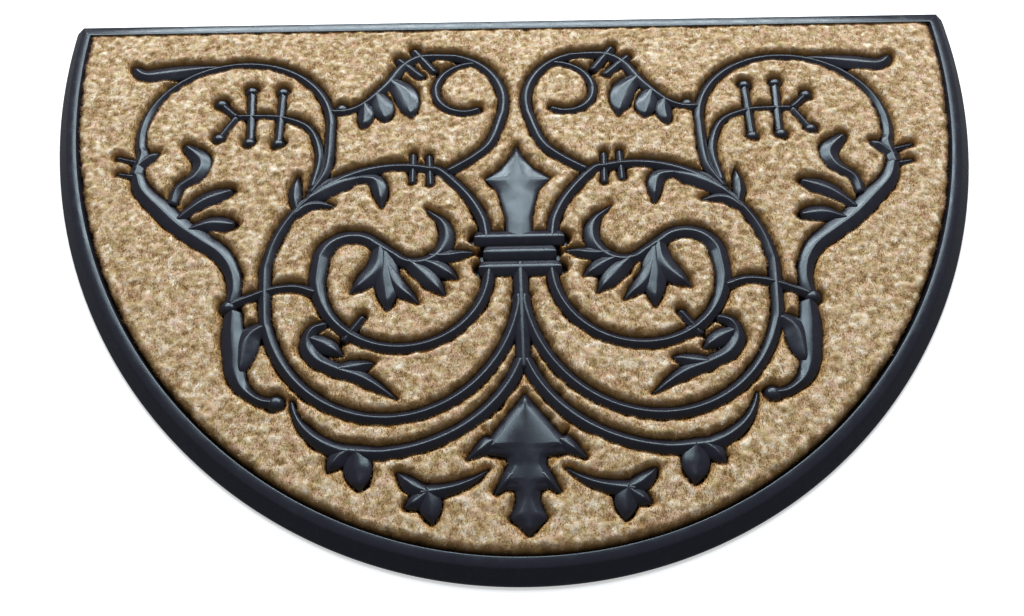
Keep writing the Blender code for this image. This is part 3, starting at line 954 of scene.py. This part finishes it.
def make_pile(context):
    """The pile's surface, one piece for each node of coir."""
    xs, ys, distance, heights, regions = pile_regions(context)
    material = coir_material(context.scene.doormat_finishes)
    near = np.abs(distance) < (xs[1] - xs[0]) / 2
    place_x, place_y = snapped(xs, ys, distance, near)
    heights = np.where(near, context.scene.doormat_pile.foot / MM, heights)
    points = np.stack([place_x, place_y, heights], axis=2).reshape(-1, 3)
    tones = np.random.default_rng(TONE_SEED).uniform(*PILE_TONES, len(points))
    for node, region in regions.items():
        kept, used, faces = packed(points, *cell_faces(region, near))
        piece = add_piece(f"{node}_pile", kept, faces, material, [node])
        set_tone(piece.data, tones[used])


def sampled(grid, place_x, place_y):
    """The grid's values at places counted in grid steps, blended between the four points round
    each place."""
    i, j = place_x.astype(int), place_y.astype(int)
    share_x, share_y = place_x - i, place_y - j
    near_side = grid[i, j] * (1.0 - share_y) + grid[i, j + 1] * share_y
    far_side = grid[i + 1, j] * (1.0 - share_y) + grid[i + 1, j + 1] * share_y
    return near_side * (1.0 - share_x) + far_side * share_x


def fibre_corners(context):
    """The three corners of each fibre, a thin triangle. Its foot is at a random place on the pile
    and its tip is up along a lean: outward at the pile's edges, and random elsewhere."""
    sizes = context.scene.doormat_pile
    xs, ys, distance, heights, _ = pile_regions(context)
    step = xs[1] - xs[0]
    draws = np.random.default_rng(FIBRE_SEED)
    covered = (distance > FIBRE_CLEAR).mean()
    tries = round(sizes.fibre_count / covered)
    place_x = draws.uniform(0.0, len(xs) - GRID_MARGIN, tries)
    place_y = draws.uniform(0.0, len(ys) - GRID_MARGIN, tries)
    kept = sampled(distance, place_x, place_y) > FIBRE_CLEAR
    place_x, place_y = place_x[kept], place_y[kept]
    slope_x, slope_y = np.gradient(heights, step)
    lean = np.column_stack([-sampled(slope_x, place_x, place_y),
                            -sampled(slope_y, place_x, place_y)])
    lean = FIBRE_OUTWARD * lean / (1.0 + np.hypot(*lean.T))[:, None]
    lean += draws.normal(0.0, FIBRE_LEAN, lean.shape)
    rise = np.column_stack([lean, np.ones(len(lean))])
    rise /= np.linalg.norm(rise, axis=1)[:, None]
    foot = np.column_stack([xs[0] + step * place_x, ys[0] + step * place_y,
                            sampled(heights, place_x, place_y) - FIBRE_SUNK])
    length = sizes.fibre_length / MM * draws.uniform(*FIBRE_SHARES, len(foot))
    turn = draws.uniform(0.0, 2 * math.pi, len(foot))
    half = sizes.fibre_width / MM / 2
    side = half * np.column_stack([np.cos(turn), np.sin(turn), np.zeros(len(foot))])
    tip = foot + rise * length[:, None]
    tip[:, 2] = np.minimum(tip[:, 2], MAT_TOP)
    return np.stack([foot - side, foot + side, tip], axis=1)


def make_fibres(context):
    """The fibres that stand on the pile, in two pieces: left and right."""
    corners = fibre_corners(context)
    material = coir_material(context.scene.doormat_finishes)
    tones = np.random.default_rng(TONE_SEED).uniform(0.0, 1.0, len(corners))
    left = corners[:, 2, 0] < 0.0
    for name, half in (("left_fibres", left), ("right_fibres", ~left)):
        points = corners[half].reshape(-1, 3)
        faces = np.arange(len(points)).reshape(-1, 3).tolist()
        piece = add_piece(name, points, faces, material, [], smooth=False)
        set_tone(piece.data, np.repeat(tones[half], 3))


# Stage

FLOOR_SIZE = 8.0
KEY_SIZE = (2.6, 0.55)
STRIP_SIZE = (2.4, 0.36)
LIGHT_COLOUR = (0.90, 0.96, 1.0)
SKY_COLOUR = (0.96, 0.98, 1.0)


def make_floor(context):
    """A pale level floor under the mat."""
    finishes = context.scene.doormat_finishes
    material, _, shader, _ = new_material("pale floor")
    shader.inputs["Base Color"].default_value = (*finishes.floor, 1.0)
    shader.inputs["Emission Color"].default_value = (1.0, 1.0, 1.0, 1.0)
    shader.inputs["Emission Strength"].default_value = finishes.floor_glow
    shader.inputs["Roughness"].default_value = 0.8
    shader.inputs["Specular IOR Level"].default_value = 0.1
    half = FLOOR_SIZE / 2
    mesh = bpy.data.meshes.new("floor")
    mesh.from_pydata([(-half, -half, 0.0), (half, -half, 0.0), (half, half, 0.0),
                      (-half, half, 0.0)], [], [(0, 1, 2, 3)])
    mesh.materials.append(material)
    floor = bpy.data.objects.new("floor", mesh)
    floor.visible_glossy = False
    context.scene.collection.objects.link(floor)


def add_softbox(context, name, place, size, power):
    """A rectangular area light that points at the middle of the mat."""
    light = bpy.data.lights.new(name, "AREA")
    light.shape = "RECTANGLE"
    light.size, light.size_y = size
    light.energy = power
    light.color = LIGHT_COLOUR
    lamp = bpy.data.objects.new(name, light)
    lamp.location = place
    lamp.rotation_euler = Vector(place).to_track_quat("Z", "Y").to_euler()
    context.scene.collection.objects.link(lamp)


def make_lights(context):
    """The softboxes, and an even light all round."""
    stage = context.scene.doormat_stage
    for name, elevation, size, power in (
            ("key softbox", stage.key_elevation, KEY_SIZE, stage.key_power),
            ("strip softbox", stage.strip_elevation, STRIP_SIZE, stage.strip_power)):
        place = (0.0, stage.light_distance * math.cos(elevation),
                 stage.light_distance * math.sin(elevation))
        add_softbox(context, name, place, size, power)
    world = bpy.data.worlds.new("studio")
    world.use_nodes = True
    background = world.node_tree.nodes["Background"]
    background.inputs["Color"].default_value = (*SKY_COLOUR, 1.0)
    background.inputs["Strength"].default_value = stage.sky
    context.scene.world = world


def make_camera(context):
    """The camera, placed by its angles and distance from the point that it looks at."""
    stage = context.scene.doormat_stage
    back = Vector((math.sin(stage.azimuth) * math.cos(stage.elevation),
                   -math.cos(stage.azimuth) * math.cos(stage.elevation),
                   math.sin(stage.elevation)))
    right = Vector((math.cos(stage.azimuth), math.sin(stage.azimuth), 0.0))
    turned = Matrix((right, back.cross(right), back)).transposed()
    lens = bpy.data.cameras.new("camera")
    lens.lens = stage.lens
    camera = bpy.data.objects.new("camera", lens)
    place = Vector((stage.target_x, stage.target_y, 0.0)) + back * stage.distance
    camera.matrix_world = (Matrix.Translation(place) @ turned.to_4x4()
                           @ Matrix.Rotation(stage.roll, 4, "Z"))
    context.scene.collection.objects.link(camera)
    context.scene.camera = camera


# Operators and panel

class DOORMAT_OT_tray(Operator):
    """Add the moulded rubber tray"""
    bl_idname = "doormat.tray"
    bl_label = "Tray"

    def execute(self, context):
        make_tray(context)
        return {"FINISHED"}


class DOORMAT_OT_scrollwork(Operator):
    """Add the raised scrollwork"""
    bl_idname = "doormat.scrollwork"
    bl_label = "Scrollwork"

    def execute(self, context):
        for name, kinds in SCROLL_PIECES.items():
            make_scrollwork(context, name, kinds)
        return {"FINISHED"}


class DOORMAT_OT_pile(Operator):
    """Add the surface of the coir pile"""
    bl_idname = "doormat.pile"
    bl_label = "Pile"

    def execute(self, context):
        make_pile(context)
        return {"FINISHED"}


class DOORMAT_OT_fibres(Operator):
    """Add the fibres that stand on the pile"""
    bl_idname = "doormat.fibres"
    bl_label = "Fibres"

    def execute(self, context):
        make_fibres(context)
        return {"FINISHED"}


class DOORMAT_OT_lay(Operator):
    """Takes no step: the tray and all that is on it are left as they are"""
    bl_idname = "doormat.lay"
    bl_label = "Lay"

    def execute(self, context):
        return {"FINISHED"}


class DOORMAT_OT_stage(Operator):
    """Add the floor, the lights and the camera"""
    bl_idname = "doormat.stage"
    bl_label = "Stage"

    def execute(self, context):
        make_floor(context)
        make_lights(context)
        make_camera(context)
        context.scene.view_settings.view_transform = "Standard"
        return {"FINISHED"}


OPERATORS = (DOORMAT_OT_tray, DOORMAT_OT_scrollwork, DOORMAT_OT_pile, DOORMAT_OT_fibres,
             DOORMAT_OT_lay, DOORMAT_OT_stage)
SETTINGS = {"doormat_tray": TraySizes, "doormat_scroll": ScrollSizes,
            "doormat_pile": PileSizes, "doormat_finishes": Finishes,
            "doormat_stage": StageSizes}


class DOORMAT_PT_panel(Panel):
    """Lists the mat's settings and the operators that build it"""
    bl_idname = "DOORMAT_PT_panel"
    bl_label = "Coir Doormat"
    bl_space_type = "VIEW_3D"
    bl_region_type = "UI"
    bl_category = "Doormat"

    def draw(self, context):
        for operator in OPERATORS:
            self.layout.operator(operator.bl_idname)
        for name, settings in SETTINGS.items():
            box = self.layout.box()
            box.label(text=settings.__doc__)
            for setting in settings.__annotations__:
                box.prop(getattr(context.scene, name), setting)


def register():
    for cls in (*SETTINGS.values(), *OPERATORS, DOORMAT_PT_panel):
        bpy.utils.register_class(cls)
    for name, settings in SETTINGS.items():
        setattr(bpy.types.Scene, name, PointerProperty(type=settings))


def unregister():
    for name in SETTINGS:
        delattr(bpy.types.Scene, name)
    for cls in (DOORMAT_PT_panel, *OPERATORS, *SETTINGS.values()):
        bpy.utils.unregister_class(cls)


def main():
    register()
    bpy.ops.doormat.tray()
    bpy.ops.doormat.scrollwork()
    bpy.ops.doormat.pile()
    bpy.ops.doormat.fibres()
    bpy.ops.doormat.lay()
    bpy.ops.doormat.stage()


if __name__ == "__main__":
    main()
